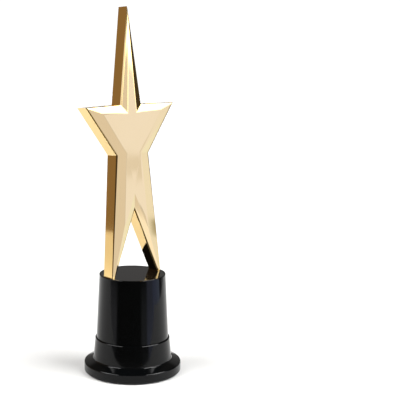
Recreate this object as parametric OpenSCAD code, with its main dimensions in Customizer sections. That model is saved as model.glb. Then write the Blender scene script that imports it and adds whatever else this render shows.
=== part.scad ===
// Star trophy: a tall five-pointed metallised star that stands on two leg tips
// on the deck of a tapered black base. The star is a hollow moulding closed by
// a back plate. The base is a drum on a rounded foot, weighted from below.
// Origin: centre of the underside, +Z up, the star faces -Y.

/* [Base] */
// Height of the base from the table to the deck
base_h = 77; // [70:1:90]
// Diameter of the rounded foot
foot_d = 75; // [72:1:84]
// Height of the straight band around the foot
foot_band_h = 6.9; // [6:0.1:7.5]
// Height where the foot's shoulder meets the collar
shoulder_h = 9.8; // [9.4:0.1:11]
// Diameter of the collar where it leaves the foot
collar_d_low = 60.4; // [59:0.2:62]
// Diameter of the collar at the ledge
collar_d_top = 57.8; // [57.4:0.2:58.6]
// Height of the ledge where the drum sits on the foot moulding
ledge_h = 27.3; // [26:0.1:30]
// Diameter of the drum at the ledge
drum_d_low = 55.8; // [55:0.2:56.4]
// Diameter of the drum at the deck
drum_d_top = 51; // [50.4:0.2:54]

/* [Star outline] */
// Height of the star along its own face
star_h = 202; // [190:1:215]
// Thickness of the star at its edges
star_depth = 11.2; // [9:0.2:13]
// Angle by which the star leans back
star_lean = 3.25; // [0:0.25:4]
// Distance across the two arm tips
arm_span = 83.5; // [76:0.5:86]
// Height of the arm tips above the deck
arm_rise = 128.8; // [126:0.2:131]
// Width of the spike where it meets the arms
spike_w = 19.8; // [18:0.2:22]
// Height of the corners between spike and arms
spike_rise = 129.5; // [127:0.5:132]
// Width of the waist
waist_w = 31; // [29:0.5:33]
// Height of the waist
waist_rise = 92; // [89:0.5:95]
// Distance across the outer sides of the leg tips
stance_w = 46.8; // [46:0.1:46.8]
// Width of one leg tip on the deck
leg_tip_w = 2.6; // [2.4:0.1:3]
// Height of the crotch between the legs
crotch_rise = 49.5; // [46:0.5:53]

/* [Star face] */
// Height of the raised face above the star's edge
face_rise = 1.2; // [0.8:0.1:1.8]
// Width of the raised face where the spike meets the arms
spike_face_w = 8.4; // [7:0.2:10]
// Height where the spike's raised face runs out
spike_face_top = 190; // [180:1:194]
// Height of the raised face's top edge in the arms
arm_face_rise = 123.4; // [122:0.2:124.6]
// Width of the raised face across the arms
arm_face_w = 54.4; // [50:0.2:58]
// Width of the raised face at the waist
waist_face_w = 13.4; // [11:0.2:15]
// Distance across the points where the legs' faces close to a ridge
leg_ridge_w = 22; // [20:0.5:24]
// Height of those points
leg_ridge_rise = 38; // [34:0.5:42]
// Height of the face's lower middle point above the crotch
crotch_face_rise = 64.3; // [61:0.1:68]

/* [Walls and fastenings] */
// Wall of the star moulding
star_wall = 1.8; // [1.6:0.1:2.2]
// Thickness of the star's back plate
back_t = 2; // [1.6:0.1:2.4]
// Wall of the drum
drum_wall = 2.2; // [1.8:0.1:2.4]
// Thickness of the drum's deck
deck_t = 2.6; // [2:0.1:3]
// Diameter of the base screws' shanks
base_screw_d = 3; // [2.5:0.1:3.5]
// Diameter of the weight screw's shank
weight_screw_d = 4; // [3.5:0.1:4.5]

/* [Hidden] */
$fn = 96;

gold = [0.86, 0.68, 0.36];
gold_back = [0.78, 0.62, 0.34];
black = [0.05, 0.05, 0.055];
steel = [0.6, 0.6, 0.62];
iron = [0.3, 0.3, 0.32];
felt = [0.12, 0.12, 0.13];

// Clearance between pieces that slide together
fit = 0.1;
// Amount by which cutters run past a face
past = 1;

// Star: half widths, and the leg tips carried on below the deck before the deck trims them
arm_x = arm_span / 2;
spike_x = spike_w / 2;
waist_x = waist_w / 2;
stance_x = stance_w / 2;
leg_run = 3;
outer_slope = (stance_x - waist_x) / waist_rise;
inner_slope = (stance_x - leg_tip_w) / crotch_rise;
leg_out_x = stance_x + leg_run * outer_slope;
leg_in_x = stance_x - leg_tip_w + leg_run * inner_slope;
leg_mid_x = (leg_out_x + leg_in_x) / 2;

// Star: heights of the face points, so that each bevel along the spike stays flat
function edge_gap(p, a, b) = abs(cross(b - a, p - a)) / norm(b - a);
spike_foot = [spike_x, spike_rise];
spike_top = [0, star_h];
tip_face_h = face_rise * edge_gap([0, spike_face_top], spike_top, spike_foot)
           / edge_gap([spike_face_w / 2, arm_face_rise], spike_top, spike_foot);
valley_face_h = face_rise * 0.8;
leg_tip_face_h = 0.1;

// Star: hollow
face_t = 2.2;
hollow_floor_v = 16;
rib_t = 1.4;
seat_w = star_wall / 2;
boss_d = 5.4;
pin_d = 2;
pin_len = 5;
pin_places = [[0, 150], [22, 117], [-22, 117], [0, 82], [12.5, 38], [-12.5, 38]];
arm_rib_x = 12;

// Tangs that carry the legs through the deck, and the clips that hold them
tang_inset = 0.05;
tang_x = stance_x - leg_tip_w / 2 - tang_inset;
tang_t = 1.9;
tang_w = 5;
tang_drop = 5.8;
tang_root = 4;
notch_depth = 0.6;
clip_t = 0.8;
clip_w = 7.2;
clip_in_x = 15.5;
clip_out_x = 22.8;

// Base
deck_round = 0.5;
spigot_len = 3.8;
web_top = ledge_h - spigot_len;
web_t = 4;
web_low = web_top - web_t;
spigot_r = collar_d_top / 2 - 2.8;
spigot_in_r = spigot_r - drum_wall;
foot_rest = 0.6;
foot_round = 1;
foot_edge_r = 1.1;
foot_edge_turn = 70;
foot_wall = 4.2;
shoulder_t = 2.4;
corner_r = 1.4;
ledge_r = 0.9;
drum_edge = 0.3;

// Base fastenings
screw_ring_r = 20.8;
screw_angles = [90, 210, 330];
drum_boss_d = 7;
drum_boss_top = 40;
// The drum's rim seats on the web, and its bosses stop short of it
boss_gap = 0.2;
base_head_d = 5.6;
base_head_h = 2.2;
base_screw_top = 35;
weight_boss_d = 9;
weight_boss_low = 12.2;
weight_head_d = 8;
weight_head_h = 2.6;
weight_screw_top = 21.5;

// Weight, cover and pad
weight_r = 26.3;
weight_low = 7;
weight_recess = 3;
weight_edge = 1;
collar_in_r = weight_r + 0.6;
cover_r = 34;
cover_low = 1.4;
cover_t = 2;
pad_r = 33;

// Right half of the star's outline, from the top tip down to the crotch
half_outline = [
    [0, star_h],
    [spike_x, spike_rise],
    [arm_x, arm_rise],
    [waist_x, waist_rise],
    [leg_out_x, -leg_run],
    [leg_in_x, -leg_run],
    [0, crotch_rise]
];

// Right half of the raised face, each with its height: spike tip, neck, arm, waist,
// leg ridge, end of the ridge at the leg tip, and the valley above the crotch
half_face = [
    [0, spike_face_top, tip_face_h],
    [spike_face_w / 2, arm_face_rise, face_rise],
    [arm_face_w / 2, arm_face_rise, face_rise],
    [waist_face_w / 2, waist_rise + 1, face_rise],
    [leg_ridge_w / 2, leg_ridge_rise, face_rise],
    [leg_mid_x, -leg_run, leg_tip_face_h],
    [0, crotch_face_rise, valley_face_h]
];

// A half list with its mirror image added, going once around
function both(half) = concat(half, [for (i = [len(half) - 2 : -1 : 1])
    concat([-half[i][0]], [for (k = [1 : len(half[i]) - 1]) half[i][k]])]);

outline = both(half_outline);
face = both(half_face);

// Points of an ellipse's quarter, from its outer end up to its top
function shoulder(r_in, r_out, z_low, z_top, steps = 12) =
    [for (i = [0 : steps]) let (a = 90 * i / steps)
        [r_in + (r_out - r_in) * cos(a), z_low + (z_top - z_low) * sin(a)]];

// The star's frame: X across, Y up the face, Z out of the face, seated on the deck and leaning back
module in_star_frame() {
    translate([0, 0, base_h])
        rotate([90 - star_lean, 0, 0])
            children();
}

// Everything above the deck
module above_deck() {
    translate([-arm_span, -arm_span, base_h])
        cube([2 * arm_span, 2 * arm_span, star_h + past]);
}

// The star's full outer body, with its bevelled face, before it is hollowed.
// Faces are listed for the right half and the middle, then the right half is mirrored.
module star_body() {
    front = [for (p = outline) [p[0], p[1], star_depth / 2]];
    back = [for (p = outline) [p[0], p[1], -star_depth / 2]];
    raised = [for (p = face) [p[0], p[1], star_depth / 2 + p[2]]];
    n = len(outline);
    b = n;
    f = 2 * n;
    crotch = n / 2;
    bevels = [for (i = [0 : crotch - 2], low = [false, true])
        low ? [i, i + 1, f + i + 1] : [i, f + i + 1, f + i]];
    leg_inside = [[5, 6, f + 4], [6, f + 6, f + 4], [5, f + 4, f + 5]];
    walls = [for (i = [0 : crotch - 1]) [i + 1, i, b + i, b + i + 1]];
    right_face = [[f + 1, f + 2, f + 3], [f + 3, f + 4, f + 6]];
    right = concat(bevels, leg_inside, walls, right_face);
    left = [for (t = right) [for (k = [len(t) - 1 : -1 : 0]) mirrored(t[k], n)]];
    middle = [[f, f + 1, f + 11], [f + 11, f + 1, f + 3], [f + 11, f + 3, f + 9], [f + 9, f + 3, f + 6]];
    rear = [[for (i = [n - 1 : -1 : 0]) b + i]];
    polyhedron(points = concat(front, back, raised), faces = concat(right, left, middle, rear));
}

// Index of a point's mirror image in a ring of n points
function mirrored(k, n) = floor(k / n) * n + (n - k % n) % n;

// The star's flat outline drawn in by a distance, above a given height
module inner_outline(inset, from_v) {
    intersection() {
        offset(delta = -inset) polygon(outline);
        translate([-arm_span, from_v]) square([2 * arm_span, 2 * star_h]);
    }
}

// Stiffening ribs across the star's hollow
module rib_lines() {
    translate([-arm_x, waist_rise]) square([arm_span, rib_t]);
    translate([-arm_x, arm_rise - rib_t]) square([arm_span, rib_t]);
    for (side = [-1, 1])
        translate([side * arm_rib_x - rib_t / 2, waist_rise]) square([rib_t, arm_rise - waist_rise]);
}

// Flat tang under one leg tip, with a neck for its clip
module tang(side) {
    low = base_h - tang_drop;
    neck_low = base_h - deck_t - clip_t - fit;
    translate([side * tang_x - tang_t / 2, 0, 0])
        difference() {
            translate([0, -tang_w / 2, low]) cube([tang_t, tang_w, tang_drop + tang_root]);
            for (y = [-1, 1])
                translate([-past, y * (tang_w / 2 - notch_depth / 2) - notch_depth / 2, neck_low])
                    cube([tang_t + 2 * past, notch_depth, clip_t + 2 * fit]);
        }
}

module star_shell() {
    floor_n = star_depth / 2 - face_t;
    seat_n = -star_depth / 2 + back_t;
    color(gold) {
        intersection() {
            above_deck();
            in_star_frame() {
                difference() {
                    star_body();
                    translate([0, 0, -star_depth / 2 - past])
                        linear_extrude(floor_n + star_depth / 2 + past)
                            inner_outline(star_wall, hollow_floor_v);
                    translate([0, 0, -star_depth / 2 - past])
                        linear_extrude(back_t + past)
                            inner_outline(seat_w, hollow_floor_v - seat_w);
                }
                translate([0, 0, seat_n])
                    linear_extrude(floor_n - seat_n + face_t / 2)
                        intersection() {
                            inner_outline(seat_w, hollow_floor_v);
                            rib_lines();
                        }
                for (p = pin_places)
                    translate([p[0], p[1], seat_n])
                        difference() {
                            cylinder(d = boss_d, h = floor_n - seat_n + face_t / 2);
                            translate([0, 0, -past]) cylinder(d = pin_d + 2 * fit, h = pin_len + past + fit);
                        }
            }
        }
        for (side = [-1, 1]) tang(side);
    }
}

module star_back_plate() {
    color(gold_back)
        in_star_frame()
            translate([0, 0, -star_depth / 2]) {
                linear_extrude(back_t) inner_outline(seat_w + fit, hollow_floor_v - seat_w + fit);
                for (p = pin_places)
                    translate([p[0], p[1], back_t / 2]) cylinder(d = pin_d, h = back_t / 2 + pin_len);
            }
}

// Two open-ended spring plates, pushed outwards over the necks of the tangs
module leg_clips() {
    slot_w = tang_w - 2 * notch_depth + 2 * fit;
    slot_in_x = tang_x - tang_t / 2 - 2 * fit;
    color(steel)
        for (side = [0, 1])
            mirror([side, 0, 0])
                translate([0, 0, base_h - deck_t - clip_t])
                    difference() {
                        translate([clip_in_x, -clip_w / 2, 0])
                            cube([clip_out_x - clip_in_x, clip_w, clip_t]);
                        translate([slot_in_x, -slot_w / 2, -past])
                            cube([clip_out_x, slot_w, clip_t + 2 * past]);
                    }
}

module base_drum() {
    top_r = drum_d_top / 2;
    low_r = drum_d_low / 2;
    profile = concat(
        [[spigot_in_r, web_top], [spigot_r, web_top], [spigot_r, ledge_h],
         [low_r - drum_edge, ledge_h], [low_r, ledge_h + drum_edge]],
        shoulder(top_r - deck_round, top_r, base_h - deck_round, base_h, 8),
        [[0, base_h], [0, base_h - deck_t], [top_r - drum_wall, base_h - deck_t],
         [low_r - drum_wall, ledge_h + 3], [spigot_in_r, ledge_h + 1]]);
    color(black)
        difference() {
            union() {
                rotate_extrude() polygon(profile);
                for (a = screw_angles)
                    rotate([0, 0, a])
                        translate([screw_ring_r, 0, web_top + boss_gap])
                            cylinder(d = drum_boss_d, h = drum_boss_top - web_top - boss_gap);
            }
            for (a = screw_angles)
                rotate([0, 0, a])
                    translate([screw_ring_r, 0, web_top - past])
                        cylinder(d = base_screw_d + 2 * fit, h = base_screw_top - web_top + past + fit);
            for (side = [-1, 1])
                translate([side * tang_x - tang_t / 2 - fit, -tang_w / 2 - fit, base_h - deck_t - past])
                    cube([tang_t + 2 * fit, tang_w + 2 * fit, deck_t + 2 * past]);
        }
}

// The collar and foot in one moulding: a web across it carries the drum and the weight
module base_foot() {
    foot_r = foot_d / 2;
    root_r = collar_d_low / 2 + corner_r;
    cover_top = cover_low + cover_t;
    inside = shoulder(collar_in_r, foot_r - foot_wall, cover_top, shoulder_h - shoulder_t);
    profile = concat(
        [for (a = [-90 : 15 : 0])
            [foot_r - foot_round + foot_round * cos(a), foot_rest + foot_round + foot_round * sin(a)]],
        [for (a = [0 : 10 : foot_edge_turn])
            [foot_r - foot_edge_r + foot_edge_r * cos(a), foot_band_h + foot_edge_r * sin(a)]],
        [for (a = [90 - foot_edge_turn : 15 : 90])
            [root_r - corner_r * sin(a), shoulder_h + corner_r - corner_r * cos(a)]],
        [for (a = [0 : 15 : 90])
            [collar_d_top / 2 - ledge_r + ledge_r * cos(a), ledge_h - ledge_r + ledge_r * sin(a)]],
        [[spigot_r + fit, ledge_h], [spigot_r + fit, web_top], [0, web_top],
         [0, web_low], [collar_in_r, web_low]],
        [for (i = [len(inside) - 1 : -1 : 0]) inside[i]],
        [[cover_r + fit, cover_top], [cover_r + fit, foot_rest]]);
    color(black)
        difference() {
            union() {
                rotate_extrude() polygon(profile);
                translate([0, 0, weight_boss_low])
                    cylinder(d = weight_boss_d, h = web_low - weight_boss_low + web_t / 2);
            }
            for (a = screw_angles)
                rotate([0, 0, a])
                    translate([screw_ring_r, 0, 0]) {
                        translate([0, 0, web_low - past])
                            cylinder(d = base_head_d + 4 * fit, h = base_head_h + fit + past);
                        translate([0, 0, web_low])
                            cylinder(d = base_screw_d + 2 * fit, h = web_t + past);
                    }
            translate([0, 0, weight_boss_low - past])
                cylinder(d = weight_screw_d + 2 * fit, h = weight_screw_top - weight_boss_low + past + fit);
        }
}

// A screw standing on its head, with a cross recess: head from z = 0 up to its seat, then the shank
module screw(shank_d, head_d, head_h, shank_len) {
    slot_w = head_d / 6;
    slot_len = head_d * 0.6;
    difference() {
        union() {
            cylinder(d = head_d, h = head_h);
            cylinder(d = shank_d, h = head_h + shank_len);
        }
        for (a = [0, 90])
            rotate([0, 0, a])
                translate([-slot_len / 2, -slot_w / 2, -past])
                    cube([slot_len, slot_w, past + head_h / 2]);
    }
}

module base_screws() {
    head_low = web_low + fit;
    color(steel)
        for (a = screw_angles)
            rotate([0, 0, a])
                translate([screw_ring_r, 0, head_low])
                    screw(base_screw_d, base_head_d, base_head_h, base_screw_top - head_low - base_head_h);
}

module base_weight() {
    seat_z = weight_low + weight_recess;
    screw_r = weight_screw_d / 2 + fit;
    head_r = weight_head_d / 2 + 3 * fit;
    boss_r = weight_boss_d / 2 + 2 * fit;
    color(iron)
        rotate_extrude()
            polygon([
                [screw_r, seat_z], [head_r, seat_z], [head_r, weight_low],
                [weight_r - weight_edge, weight_low], [weight_r, weight_low + weight_edge],
                [weight_r, web_low - weight_edge], [weight_r - weight_edge, web_low],
                [boss_r, web_low], [boss_r, weight_boss_low - fit], [screw_r, weight_boss_low - fit]
            ]);
}

module weight_screw() {
    seat_z = weight_low + weight_recess;
    color(steel)
        translate([0, 0, seat_z - weight_head_h])
            screw(weight_screw_d, weight_head_d, weight_head_h, weight_screw_top - seat_z);
}

module bottom_cover() {
    color(black)
        translate([0, 0, cover_low]) cylinder(r = cover_r, h = cover_t);
}

module felt_pad() {
    color(felt)
        cylinder(r = pad_r, h = cover_low);
}

star_shell();
star_back_plate();
leg_clips();
base_drum();
base_foot();
base_screws();
base_weight();
weight_screw();
bottom_cover();
felt_pad();
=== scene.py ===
"""Looks of the star trophy: a metallised gold star on a glossy black base, in a plain pale studio."""
import math

import bmesh
import bpy
from mathutils import Matrix, Vector


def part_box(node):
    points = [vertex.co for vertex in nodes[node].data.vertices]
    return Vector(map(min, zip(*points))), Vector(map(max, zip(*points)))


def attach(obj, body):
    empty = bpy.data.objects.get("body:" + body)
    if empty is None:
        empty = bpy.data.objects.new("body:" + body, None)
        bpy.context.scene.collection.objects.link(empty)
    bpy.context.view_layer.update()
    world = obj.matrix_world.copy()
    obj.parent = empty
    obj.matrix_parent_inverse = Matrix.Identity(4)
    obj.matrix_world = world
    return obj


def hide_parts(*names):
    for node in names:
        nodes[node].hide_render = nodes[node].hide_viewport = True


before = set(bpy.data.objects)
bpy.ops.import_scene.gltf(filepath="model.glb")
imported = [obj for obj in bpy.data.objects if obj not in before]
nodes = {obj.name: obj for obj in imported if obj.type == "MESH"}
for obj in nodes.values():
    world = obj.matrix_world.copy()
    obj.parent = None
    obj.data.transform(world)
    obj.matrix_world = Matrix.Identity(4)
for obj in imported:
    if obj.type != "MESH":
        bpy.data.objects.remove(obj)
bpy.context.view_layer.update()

MM = 0.001
scene = bpy.context.scene

# ---------------------------------------------------------------- sizes of the star, in millimetres
# They are the CAD star's own. An X is measured from its centre line, and a RISE up along it from the deck
BASE_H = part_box("base_drum")[1].z / MM
STAR_H, STAR_DEPTH = 202, 11.2
# Outline: the spike's foot, the arm's tip, the waist, the leg's outer side and tip, and the crotch
SPIKE_X, SPIKE_RISE = 9.9, 129.5
ARM_X, ARM_RISE = 41.75, 128.8
WAIST_X, WAIST_RISE = 15.5, 92
STANCE_X, LEG_TIP_W = 23.4, 2.6
CROTCH_RISE = 49.5
# Raised face: how far it stands out, and its corners inside the bevel
FACE_H, TIP_FACE_H, LEG_TIP_FACE_H, VALLEY_SHARE = 1.2, 0.28, 0.1, 0.8
SPIKE_FACE_X, SPIKE_FACE_TOP = 4.2, 190
ARM_FACE_X, ARM_FACE_RISE = 27.2, 123.4
WAIST_FACE_X, WAIST_FACE_RISE = 6.7, WAIST_RISE + 1
LEG_RIDGE_X, LEG_RIDGE_RISE = 11, 38
CROTCH_FACE_RISE = 64.3
# How far the legs run on below the deck before they are cut, and the star's lean in degrees
LEG_RUN = 3
STAR_LEAN = 3.25
# The skin lies this far inside the CAD star, so that no two of their faces coincide
SKIN_GAP = 0.01
# Rounding of the front edge: how far it reaches down the walls, and how far it reaches in over the bevel
# at the spike's tip, its foot, the arm tip, the waist, the leg's outer and inner side and the crotch
EDGE_DROP = 1.2
EDGE_REACH = (6.5, 1.7, 2.8, 1.4, 0.75, 0.55, 2.6)
EDGE_STEPS = 8
# Roundings of the ridges between bevel and face: spike, body and leg tips. Then the rear edge's
SPIKE_RIDGE_R, RIDGE_R, LEG_RIDGE_R, REAR_R = 0.2, 1.1, 0.3, 0.3
RIDGE_STEPS = 4
# Block that keeps the tangs: its height, and how much wider and deeper than the legs it is
TANG_ROOM, TANG_MARGIN = 10, 10

# Corners of half the outline in their order, from the spike's tip round to the crotch. The raised face
# has a corner for each of them, and those for the leg's two sides are the ends of the leg's ridge
TIP, SPIKE_FOOT, ARM, WAIST, LEG_OUT, LEG_IN, CROTCH = range(7)
RIDGE_TOP, RIDGE_END = LEG_OUT, LEG_IN
# Face marks while the star is built
FLAT, ROUNDED = 0, 1
# Faces that turn less than this from each other belong to one rounding
SAME_ROUNDING = math.radians(24)
# Vertices closer than this are one vertex, in metres
WELD = 1e-7


# ---------------------------------------------------------------- helpers
class Graph:
    """Adds nodes to a tree and joins them, so that a material reads as a short list of steps."""

    def __init__(self, tree):
        self.tree = tree
        tree.nodes.clear()

    def join(self, socket, value):
        """Feeds a socket from another node's output, or sets it to a plain value."""
        if isinstance(value, bpy.types.NodeSocket):
            self.tree.links.new(value, socket)
        else:
            socket.default_value = value

    def add(self, kind, settings=None, **inputs):
        """A new node. An input is named as in Blender with _ for a space, or by its number as i0, i1."""
        made = self.tree.nodes.new(kind)
        for key, value in (settings or {}).items():
            setattr(made, key, value)
        for key, value in inputs.items():
            by_number = key[0] == "i" and key[1:].isdigit()
            self.join(made.inputs[int(key[1:]) if by_number else key.replace("_", " ")], value)
        return made

    def math(self, operation, *values):
        made = self.add("ShaderNodeMath", {"operation": operation})
        for socket, value in zip(made.inputs, values):
            self.join(socket, value)
        return made.outputs[0]

    def step(self, value, low, high, to_low=0.0, to_high=1.0):
        """A smooth step from to_low to to_high, while value goes from low to high."""
        return self.add("ShaderNodeMapRange", {"interpolation_type": "SMOOTHSTEP"}, Value=value,
                        From_Min=low, From_Max=high, To_Min=to_low, To_Max=to_high).outputs[0]

    def mix(self, factor, a, b):
        return self.add("ShaderNodeMix", {"data_type": "RGBA"}, i0=factor, i6=a, i7=b).outputs[2]


def rgb(r, g, b):
    return (r, g, b, 1.0)


def grey(level):
    return (level, level, level)


def placed(bm, name):
    """A new object in the scene that holds the shape of bm."""
    mesh = bpy.data.meshes.new(name)
    bm.to_mesh(mesh)
    bm.free()
    made = bpy.data.objects.new(name, mesh)
    scene.collection.objects.link(made)
    return made


# ---------------------------------------------------------------- studio, in metres and degrees
# The camera looks at the trophy from the star's right hand side, slightly from above
VIEW_TURN = 38.5
CAM_DISTANCE, CAM_HEIGHT, CAM_PITCH = 0.7855, 0.2724, 9.99
CAM_LENS, CAM_SENSOR, CAM_SHIFT = 94.5, 36, 0.1689
CAM_NEAR, CAM_FAR = 0.01, 50
# Ends of the floor as the camera sees them, and where the painted shade over its left part is full and
# where it ends
FLOOR_LEFT, FLOOR_RIGHT, FLOOR_NEAR, FLOOR_FAR = -1.1, 0.3, -0.09, 3.0
FLOOR_SHADE_FULL, FLOOR_SHADE_END = -0.8, -0.4
LAMP_SIZE, LAMP_POWER, LAMP_PLACE = 2.4, 14, (-0.4, 0.5, 1.5)
# Brightness of the overhead softboxes at the right and the left, and of the bright cards at the right
KEY_BOX, FILL_BOX, BRIGHT_CARD = 18.0, 13.0, 4.4
BOX_HEIGHTS = (38, 56)
# Heights past straight down and straight up
DOWN, UP = -91, 91


def make_camera():
    data = bpy.data.cameras.new("camera")
    data.lens, data.sensor_width, data.shift_x = CAM_LENS, CAM_SENSOR, CAM_SHIFT
    data.clip_start, data.clip_end = CAM_NEAR, CAM_FAR
    camera = bpy.data.objects.new("camera", data)
    turn = math.radians(VIEW_TURN)
    camera.location = (-CAM_DISTANCE * math.sin(turn), -CAM_DISTANCE * math.cos(turn), CAM_HEIGHT)
    camera.rotation_euler = (math.radians(90 - CAM_PITCH), 0, -turn)
    scene.collection.objects.link(camera)
    scene.camera = camera


def make_world():
    """A studio painted by heading and height: soft cards on a dim surround."""
    world = bpy.data.worlds.new("studio")
    world.use_nodes = True
    scene.world = world
    g = Graph(world.node_tree)
    direction = g.add("ShaderNodeTexCoord").outputs["Generated"]
    xyz = g.add("ShaderNodeSeparateXYZ", i0=direction)
    to_degrees = 180 / math.pi
    compass = g.math("MULTIPLY", g.math("ARCTAN2", xyz.outputs[0], xyz.outputs[1]), to_degrees)
    # Degrees to the right of the camera's own direction, from -180 to 180
    heading = g.math("WRAP", g.math("SUBTRACT", compass, VIEW_TURN), 180, -180)
    height = g.math("MULTIPLY", g.math("ARCSINE", xyz.outputs[2]), to_degrees)

    def card(paint, colour, headings, heights, soft_sides, soft_ends):
        """Paints a card over what is there. Its sides and ends fade out over the given degrees."""
        mask = g.math("MULTIPLY", g.step(heading, headings[0] - soft_sides, headings[0]),
                      g.step(heading, headings[1], headings[1] + soft_sides, 1.0, 0.0))
        mask = g.math("MULTIPLY", mask, g.step(height, heights[0] - soft_ends, heights[0]))
        mask = g.math("MULTIPLY", mask, g.step(height, heights[1], heights[1] + soft_ends, 1.0, 0.0))
        return g.mix(mask, paint, rgb(*colour))

    paint = rgb(0.07, 0.06, 0.045)
    # Dim brown surround at the left and a paler low patch further round towards the camera
    paint = card(paint, (0.32, 0.22, 0.12), (-96, -45), (DOWN, 30), 8, 10)
    paint = card(paint, (0.9, 0.9, 0.95), (-124, -100), (DOWN, -11), 8, 2)
    # White backdrop behind the trophy, with dim grey above it and beside it
    paint = card(paint, (0.26, 0.25, 0.24), (-40, 40), (DOWN, 26), 10, 6)
    paint = card(paint, grey(1.1), (-30, 17), (DOWN, 0.9), 6, 0.5)
    paint = card(paint, (0.55, 0.56, 0.58), (22, 60), (DOWN, -12), 4, 3)
    # Pale band of light behind the camera, just above its height
    paint = card(paint, (1.3, 1.35, 1.6), (142, 181), (8.0, 14), 4, 0.8)
    paint = card(paint, (1.3, 1.35, 1.6), (-181, -112), (8.0, 14), 6, 0.8)
    # At the right, towards the camera: a low dim card, and a tall one with a brighter foot
    paint = card(paint, (0.6, 0.62, 0.65), (132, 146), (DOWN, -11), 10, 2)
    paint = card(paint, (0.95, 1.0, 1.35), (112, 128), (DOWN, UP), 5, 2)
    paint = card(paint, (1.3, 1.42, 1.95), (110, 130), (DOWN, -12), 5, 1)
    # At the right, further from the camera: a pale card with a dark line across it and a wider foot
    paint = card(paint, (1.12, 1.26, 1.75), (85, 93), (DOWN, -1.5), 1.5, 2.0)
    paint = card(paint, (0.33, 0.33, 0.2), (84, 87), (-6.5, -5.9), 1.5, 0.3)
    paint = card(paint, (1.15, 1.35, 1.85), (78, 93), (DOWN, -9.5), 3, 2)
    # Between them, the main card, which the star's face reflects, and a dimmer band across it
    paint = card(paint, (1.15, 1.29, 1.98), (93, 107), (DOWN, UP), 5, 2)
    paint = card(paint, (0.98, 1.06, 1.5), (93, 107), (-3.7, -2.9), 5, 0.4)
    # Bright cards above them, a dark ceiling over those, and the two overhead softboxes
    paint = card(paint, grey(BRIGHT_CARD), (93, 112), (3.9, 34), 5, 1.0)
    paint = card(paint, grey(BRIGHT_CARD), (112, 130), (6.8, 34), 5, 0.8)
    paint = card(paint, (0.1, 0.09, 0.08), (84, 136), (36, UP), 5, 4)
    paint = card(paint, grey(KEY_BOX), (80, 138), BOX_HEIGHTS, 3, 3)
    paint = card(paint, grey(FILL_BOX), (-138, -80), BOX_HEIGHTS, 3, 3)
    g.add("ShaderNodeOutputWorld", Surface=g.add("ShaderNodeBackground", Color=paint).outputs[0])


def make_floor():
    """A pale table top that reaches further behind the trophy than in front of it."""
    bm = bmesh.new()
    corners = [(FLOOR_LEFT, FLOOR_NEAR), (FLOOR_RIGHT, FLOOR_NEAR),
               (FLOOR_RIGHT, FLOOR_FAR), (FLOOR_LEFT, FLOOR_FAR)]
    bm.faces.new([bm.verts.new((right, ahead, 0)) for right, ahead in corners])
    floor = placed(bm, "floor")
    floor.rotation_euler.z = -math.radians(VIEW_TURN)
    floor.data.materials.append(material_on("floor_white", table_top))


def make_lights():
    data = bpy.data.lights.new("overhead", "AREA")
    data.shape, data.size, data.size_y, data.energy = "RECTANGLE", LAMP_SIZE, LAMP_SIZE, LAMP_POWER
    lamp = bpy.data.objects.new("overhead", data)
    lamp.location = LAMP_PLACE
    lamp.visible_glossy = False
    scene.collection.objects.link(lamp)


# ---------------------------------------------------------------- materials
def material_on(name, build):
    """A new material. build makes its surface from a graph and the piece's own coordinates."""
    material = bpy.data.materials.new(name)
    material.use_nodes = True
    g = Graph(material.node_tree)
    skin = build(g, g.add("ShaderNodeTexCoord").outputs["Object"])
    g.add("ShaderNodeOutputMaterial", Surface=skin.outputs[0])
    return material


def noise(g, place, scale, detail=3.0):
    return g.add("ShaderNodeTexNoise", {"noise_dimensions": "3D"}, Vector=place, Scale=scale,
                 Detail=detail).outputs[0]


def table_top(g, place):
    """Faintly mottled off-white, with painted shade that makes it darker and warmer at its left end."""
    white = g.mix(noise(g, place, 60.0, 4.0), rgb(0.56, 0.56, 0.555), rgb(0.59, 0.59, 0.585))
    aside = g.add("ShaderNodeSeparateXYZ", i0=place).outputs[0]
    # Painted shade: the left end fades to a darker, warmer colour, standing in for less light falling
    # there
    tone = g.mix(g.step(aside, FLOOR_SHADE_FULL, FLOOR_SHADE_END), rgb(0.41, 0.385, 0.335), white)
    return g.add("ShaderNodeBsdfPrincipled", Base_Color=tone, Roughness=0.7)


def gold(g, place):
    """Mirror-bright metallised plastic with a very faint waviness."""
    tone = g.mix(noise(g, place, 22.0), rgb(0.755, 0.54, 0.232), rgb(0.785, 0.57, 0.258))
    rough = g.step(noise(g, place, 40.0), 0.3, 0.7, 0.035, 0.06)
    wave = g.add("ShaderNodeBump", Height=noise(g, place, 30.0, 1.0), Strength=0.04, Distance=0.001)
    return g.add("ShaderNodeBsdfPrincipled", Base_Color=tone, Metallic=1.0, Roughness=rough,
                 Normal=wave.outputs[0])


def black(g, place):
    """Glossy black moulded plastic."""
    tone = g.mix(noise(g, place, 60.0), rgb(0.0008, 0.0010, 0.0011), rgb(0.0014, 0.0016, 0.0018))
    rough = g.step(noise(g, place, 90.0), 0.3, 0.7, 0.07, 0.12)
    peel = g.add("ShaderNodeBump", Height=noise(g, place, 500.0, 1.0), Strength=0.03, Distance=0.0002)
    return g.add("ShaderNodeBsdfPrincipled", Base_Color=tone, Roughness=rough, IOR=1.33,
                 Specular_IOR_Level=0.32, Normal=peel.outputs[0])


def plain_metal(low, high, rough_low, rough_high, grain):
    """Gives the builder of a bare metal, whose colour and roughness vary between two values."""
    def build(g, place):
        tone = g.mix(noise(g, place, grain), rgb(*low), rgb(*high))
        rough = g.step(noise(g, place, grain * 2), 0.3, 0.7, rough_low, rough_high)
        return g.add("ShaderNodeBsdfPrincipled", Base_Color=tone, Metallic=1.0, Roughness=rough)
    return build


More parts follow.
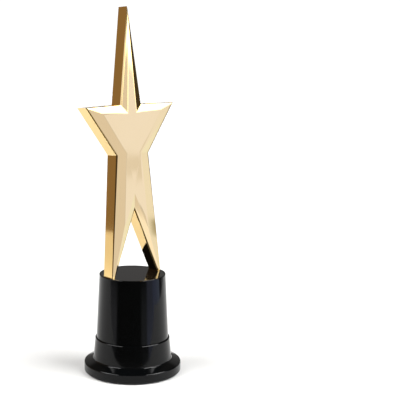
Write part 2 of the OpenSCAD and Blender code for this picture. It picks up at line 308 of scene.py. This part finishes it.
def cast_iron(g, place):
    """Dark, pitted and rough."""
    cloud = noise(g, place, 400.0, 6.0)
    tone = g.mix(cloud, rgb(0.05, 0.05, 0.052), rgb(0.15, 0.148, 0.145))
    pits = g.add("ShaderNodeBump", Height=cloud, Strength=0.6, Distance=0.0004)
    return g.add("ShaderNodeBsdfPrincipled", Base_Color=tone, Metallic=0.7, Roughness=0.62,
                 Normal=pits.outputs[0])


def cover_sheet(g, place):
    """Black sheet plastic with a fine grain."""
    cloud = noise(g, place, 900.0, 2.0)
    tone = g.mix(cloud, rgb(0.012, 0.012, 0.013), rgb(0.022, 0.022, 0.023))
    grain = g.add("ShaderNodeBump", Height=cloud, Strength=0.3, Distance=0.0002)
    return g.add("ShaderNodeBsdfPrincipled", Base_Color=tone, Roughness=0.55, Normal=grain.outputs[0])


def felt_cloth(g, place):
    """Charcoal felt with a soft nap."""
    fibre = noise(g, place, 1500.0, 8.0)
    tone = g.mix(fibre, rgb(0.010, 0.011, 0.013), rgb(0.045, 0.047, 0.052))
    nap = g.add("ShaderNodeBump", Height=fibre, Strength=0.8, Distance=0.0005)
    return g.add("ShaderNodeBsdfPrincipled", Base_Color=tone, Roughness=0.95, Sheen_Weight=0.3,
                 Sheen_Roughness=0.6, Normal=nap.outputs[0])


# ---------------------------------------------------------------- the star's skin
def mirrored(points):
    """Points of one half, then those of the other half back up to the first."""
    return points + [(-p[0],) + tuple(p[1:]) for p in points[-2:0:-1]]


def star_outline(run):
    """Corners of the flat outline and of the raised face, with the legs run on below the deck."""
    outer = (STANCE_X - WAIST_X) / WAIST_RISE
    inner = (STANCE_X - LEG_TIP_W) / CROTCH_RISE
    leg_out, leg_in = STANCE_X + run * outer, STANCE_X - LEG_TIP_W + run * inner
    half = [(0, STAR_H), (SPIKE_X, SPIKE_RISE), (ARM_X, ARM_RISE), (WAIST_X, WAIST_RISE),
            (leg_out, -run), (leg_in, -run), (0, CROTCH_RISE)]
    face = [(0, SPIKE_FACE_TOP, TIP_FACE_H), (SPIKE_FACE_X, ARM_FACE_RISE, FACE_H),
            (ARM_FACE_X, ARM_FACE_RISE, FACE_H), (WAIST_FACE_X, WAIST_FACE_RISE, FACE_H),
            (LEG_RIDGE_X, LEG_RIDGE_RISE, FACE_H), ((leg_out + leg_in) / 2, -run, LEG_TIP_FACE_H),
            (0, CROTCH_FACE_RISE, FACE_H * VALLEY_SHARE)]
    return mirrored(half), mirrored(face)


def star_frame():
    """Stands the star, which is drawn lying on its back, on the deck with its lean."""
    lean = Matrix.Rotation(math.radians(90 - STAR_LEAN), 4, "X")
    return Matrix.Translation((0, 0, BASE_H * MM)) @ lean


def skin_points(outline, face):
    """Rings of points round the front edge, then the rear outline, then the raised face."""
    half_depth = STAR_DEPTH / 2 - SKIN_GAP
    edge = [Vector((x, y, half_depth)) for x, y in outline]
    raised = [Vector((x, y, half_depth + h)) for x, y, h in face]
    reach = EDGE_REACH + EDGE_REACH[-2:0:-1]
    points = []
    for k in range(EDGE_STEPS + 1):
        s = k / EDGE_STEPS
        for corner, inner, far in zip(edge, raised, reach):
            low = corner - Vector((0, 0, EDGE_DROP))
            high = corner + (inner - corner).normalized() * far
            points.append(low * (1 - s) ** 2 + corner * 2 * s * (1 - s) + high * s ** 2)
    return points + [Vector((x, y, -half_depth)) for x, y in outline] + raised


def star_skin():
    """The star's outer body. Rings of points round its front edge, and a modifier rounds the ridges."""
    outline, face = star_outline(LEG_RUN)
    n = len(outline)
    # Numbers of the first point of the last ring, of the rear outline and of the raised face
    rim = EDGE_STEPS * n
    rear = rim + n
    top = rear + n

    def twin(k):
        """The number of the same point on the star's other half."""
        return k // n * n + (n - k % n) % n

    flat = [t for i in range(LEG_IN)
            for t in ((rim + i, rim + i + 1, top + i + 1), (rim + i, top + i + 1, top + i))]
    flat += [(rim + LEG_IN, rim + CROTCH, top + RIDGE_TOP), (rim + CROTCH, top + CROTCH, top + RIDGE_TOP),
             (rim + LEG_IN, top + RIDGE_TOP, top + RIDGE_END)]
    flat += [(i + 1, i, rear + i, rear + i + 1) for i in range(CROTCH)]
    flat += [(top + SPIKE_FOOT, top + ARM, top + WAIST), (top + WAIST, top + RIDGE_TOP, top + CROTCH)]
    strips = [(k + i, k + i + 1, k + n + i + 1, k + n + i)
              for k in range(0, rim, n) for i in range(CROTCH)]
    half = [(t, FLAT) for t in flat] + [(t, ROUNDED) for t in strips]
    other_half = [([twin(k) for k in reversed(t)], mark) for t, mark in half]
    foot, foot_twin = top + SPIKE_FOOT, twin(top + SPIKE_FOOT)
    waist, waist_twin = top + WAIST, twin(top + WAIST)
    middle = [(top + TIP, foot, foot_twin), (foot_twin, foot, waist), (foot_twin, waist, waist_twin),
              (waist_twin, waist, top + CROTCH), range(top - 1, rear - 1, -1)]

    bm = bmesh.new()
    verts = [bm.verts.new(p * MM) for p in skin_points(outline, face)]
    for corners, mark in half + other_half + [(t, FLAT) for t in middle]:
        bm.faces.new([verts[k] for k in corners]).material_index = mark
    bmesh.ops.recalc_face_normals(bm, faces=bm.faces)

    widths = {frozenset((rear + i, rear + (i + 1) % n)): REAR_R for i in range(n)}
    ridges = ((TIP, SPIKE_FOOT, SPIKE_RIDGE_R), (SPIKE_FOOT, ARM, RIDGE_R), (ARM, WAIST, RIDGE_R),
              (WAIST, RIDGE_TOP, RIDGE_R), (RIDGE_TOP, RIDGE_END, LEG_RIDGE_R),
              (RIDGE_TOP, CROTCH, RIDGE_R))
    for a, c, width in ridges:
        widths[frozenset((top + a, top + c))] = width
        widths[frozenset((twin(top + a), twin(top + c)))] = width
    number = {v: k for k, v in enumerate(verts)}
    weights = bm.edges.layers.float.new("bevel_weight_edge")
    for e in bm.edges:
        e[weights] = widths.get(frozenset(number[v] for v in e.verts), 0.0) / RIDGE_R
    skin = placed(bm, "star_skin")
    rounding = skin.modifiers.new("rounding", "BEVEL")
    rounding.limit_method = "WEIGHT"
    rounding.width = RIDGE_R * MM
    rounding.segments = RIDGE_STEPS
    rounding.material = ROUNDED
    rounding.use_clamp_overlap = False
    rounding.miter_outer = "MITER_SHARP"
    return skin


def shade(mesh):
    """Flat faces keep their own normal, and the roundings run smoothly into them."""
    bm = bmesh.new()
    bm.from_mesh(mesh)

    def close_to(face, others):
        """Those of the others that turn little from the face, the closest first."""
        turns = [(q.normal.angle(face.normal, math.pi), q.index, q) for q in others]
        return [q for turn, _, q in sorted(turns) if turn < SAME_ROUNDING]

    normals = []
    for face in bm.faces:
        for corner in face.loops:
            normal = face.normal
            if face.material_index == ROUNDED:
                around = corner.vert.link_faces
                flat = close_to(face, [q for q in around if q.material_index == FLAT])
                bent = close_to(face, [q for q in around if q.material_index == ROUNDED])
                if flat:
                    normal = flat[0].normal
                elif bent:
                    normal = sum((q.normal * q.calc_area() for q in bent), Vector()).normalized()
            normals.append(normal.copy())
    bm.free()
    for p in mesh.polygons:
        p.use_smooth = True
        p.material_index = FLAT
    mesh.normals_split_custom_set(normals)


def baked(obj, name):
    """A new object that holds obj with its modifiers applied."""
    bpy.context.view_layer.update()
    dg = bpy.context.evaluated_depsgraph_get()
    mesh = bpy.data.meshes.new_from_object(obj.evaluated_get(dg))
    mesh.name = name
    made = bpy.data.objects.new(name, mesh)
    scene.collection.objects.link(made)
    bpy.data.objects.remove(obj)
    return made


def solid_copy(node, name):
    """A closed copy of a CAD node's mesh, to cut a new piece with."""
    bm = bmesh.new()
    bm.from_mesh(nodes[node].data)
    bmesh.ops.remove_doubles(bm, verts=bm.verts, dist=WELD)
    return placed(bm, name)


def below_deck_block():
    """A block around the tangs under the deck, which keeps them when the skin trims the star."""
    bm = bmesh.new()
    bmesh.ops.create_cube(bm, size=1.0)
    size = Vector((2 * STANCE_X + TANG_MARGIN, STAR_DEPTH + TANG_MARGIN, TANG_ROOM)) * MM
    bmesh.ops.scale(bm, verts=bm.verts, vec=size)
    bmesh.ops.translate(bm, verts=bm.verts, vec=(0, 0, (BASE_H + SKIN_GAP) * MM - size.z / 2))
    return placed(bm, "below_deck")


def boolean(obj, other, operation):
    cut = obj.modifiers.new(operation.lower(), "BOOLEAN")
    cut.operation, cut.solver, cut.object = operation, "MANIFOLD", other


def make_star(material):
    """The rounded skin, cut from below by the deck, with the CAD star's hollow, ribs, bosses and tangs."""
    skin = star_skin()
    # One material slot for each face mark, so that the marks outlast the cuts
    for _ in (FLAT, ROUNDED):
        skin.data.materials.append(material)
    skin = baked(skin, "star_skin_round")
    skin.data.transform(star_frame())
    block = below_deck_block()
    core = solid_copy("star_shell", "star_core")
    boolean(skin, block, "UNION")
    boolean(skin, core, "INTERSECT")
    star = baked(skin, "star_gold")
    for used in (block, core):
        bpy.data.objects.remove(used)
    shade(star.data)
    star.data.materials.clear()
    star.data.materials.append(material)
    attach(star, "root")
    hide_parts("star_shell")


make_camera()
make_world()
make_floor()
make_lights()

gold_skin = material_on("gold", gold)
black_skin = material_on("black_gloss", black)
steel = material_on("spring_steel", plain_metal((0.35, 0.35, 0.36), (0.5, 0.5, 0.51), 0.22, 0.4, 300.0))
zinc = material_on("zinc", plain_metal((0.55, 0.56, 0.58), (0.7, 0.71, 0.72), 0.2, 0.35, 500.0))
paints = {
    "star_back_plate": gold_skin,
    "base_drum": black_skin,
    "base_foot": black_skin,
    "leg_clips": steel,
    "base_screws": zinc,
    "weight_screw": zinc,
    "base_weight": material_on("cast_iron", cast_iron),
    "bottom_cover": material_on("cover_sheet", cover_sheet),
    "felt_pad": material_on("felt", felt_cloth),
}
for name, paint in paints.items():
    nodes[name].data.materials.clear()
    nodes[name].data.materials.append(paint)
make_star(gold_skin)

scene.view_settings.view_transform = "Standard"
